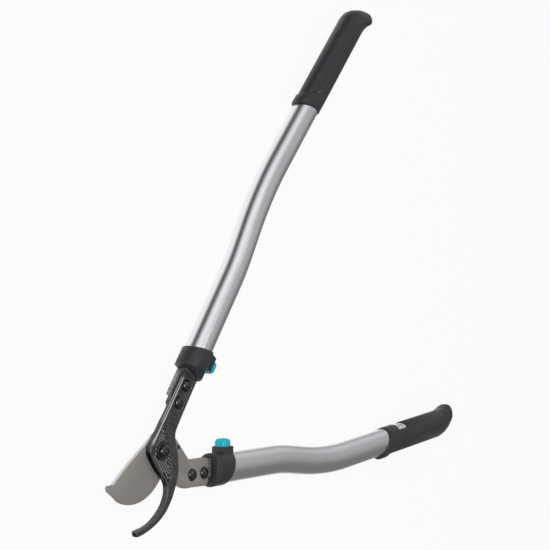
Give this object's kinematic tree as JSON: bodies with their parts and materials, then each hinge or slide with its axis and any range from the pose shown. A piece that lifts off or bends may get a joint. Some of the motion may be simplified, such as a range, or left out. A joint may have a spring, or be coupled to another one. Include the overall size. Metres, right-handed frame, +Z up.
{
  "type": "telescopic bypass lopper",
  "caption": "Two-handed bypass lopper: a ground blade passes a curved hook jaw, on two bent oval tube handles that slide out and lock with push buttons.",
  "frame": {"origin": "centre of the flat end of the pivot bolt, on the lopper's under side", "axes": "+Z up along the pivot bolt, from its flat end to its head; +X back from the pivot, midway between the two open handles; +Y towards the handle of the hook jaw"},
  "size_m": [0.6002, 0.5151, 0.0305],
  "materials": {
    "coated_steel": "dark grey non-stick coating, satin",
    "blade_steel": "ground matt steel",
    "soft_grey": "soft matt grey",
    "blackened_steel": "blackened, satin",
    "plain_steel": "zinc-plated",
    "sleeve_bronze": "turned",
    "cast_alloy": "rough cast",
    "satin_aluminium": "satin anodised",
    "black_plastic": "fine moulded texture",
    "white_nylon": "moulded",
    "turquoise_plastic": "semi-gloss"
  },
  "bodies": {
    "hook_head": {"hook_jaw": "coated_steel", "pivot_bolt": "blackened_steel", "pivot_washer": "blackened_steel", "pivot_sleeve": "sleeve_bronze", "pivot_back_washer": "plain_steel", "pivot_nut": "blackened_steel", "hook_arm_screw_1": "blackened_steel", "hook_arm_screw_2": "blackened_steel", "hook_arm_nut_1": "blackened_steel", "hook_arm_nut_2": "blackened_steel", "hook_bracket": "cast_alloy", "hook_slide_shoe": "white_nylon"},
    "blade_head": {"blade": "blade_steel", "stop_bumper": "soft_grey", "blade_arm_screw_1": "blackened_steel", "blade_arm_screw_2": "blackened_steel", "blade_arm_nut_1": "blackened_steel", "blade_arm_nut_2": "blackened_steel", "blade_bracket": "cast_alloy", "blade_slide_shoe": "white_nylon"},
    "hook_handle": {"hook_tube": "satin_aluminium", "hook_collar": "black_plastic", "hook_collar_pin": "plain_steel", "hook_grip_core": "black_plastic", "hook_grip_pad": "soft_grey", "hook_button_spring": "plain_steel"},
    "blade_handle": {"blade_tube": "satin_aluminium", "blade_collar": "black_plastic", "blade_collar_pin": "plain_steel", "blade_grip_core": "black_plastic", "blade_grip_pad": "soft_grey", "blade_button_spring": "plain_steel"},
    "hook_button": {"hook_button": "turquoise_plastic", "hook_lock_plate": "plain_steel"},
    "blade_button": {"blade_button": "turquoise_plastic", "blade_lock_plate": "plain_steel"}
  },
  "joints": [
    {"name": "blade_close", "type": "hinge", "parent": "hook_head", "child": "blade_head", "pos_m": [0, 0, 0.0094], "axis": [0, 0, 1], "range_deg": [0, 36]},
    {"name": "hook_handle_slide", "type": "slide", "parent": "hook_head", "child": "hook_handle", "axis": [0.9003, 0.4352, 0], "range_m": [0, 0.064]},
    {"name": "blade_handle_slide", "type": "slide", "parent": "blade_head", "child": "blade_handle", "axis": [0.9003, -0.4352, 0], "range_m": [0, 0.064]},
    {"name": "hook_button_press", "type": "slide", "parent": "hook_handle", "child": "hook_button", "axis": [-0.4352, 0.9003, 0], "range_m": [0, 0.002], "stiffness_N_per_m": 1500, "springref_m": -0.002, "deforming": ["hook_button_spring"]},
    {"name": "blade_button_press", "type": "slide", "parent": "blade_handle", "child": "blade_button", "axis": [-0.4352, -0.9003, 0], "range_m": [0, 0.002], "stiffness_N_per_m": 1500, "springref_m": -0.002, "deforming": ["blade_button_spring"]}
  ]
}
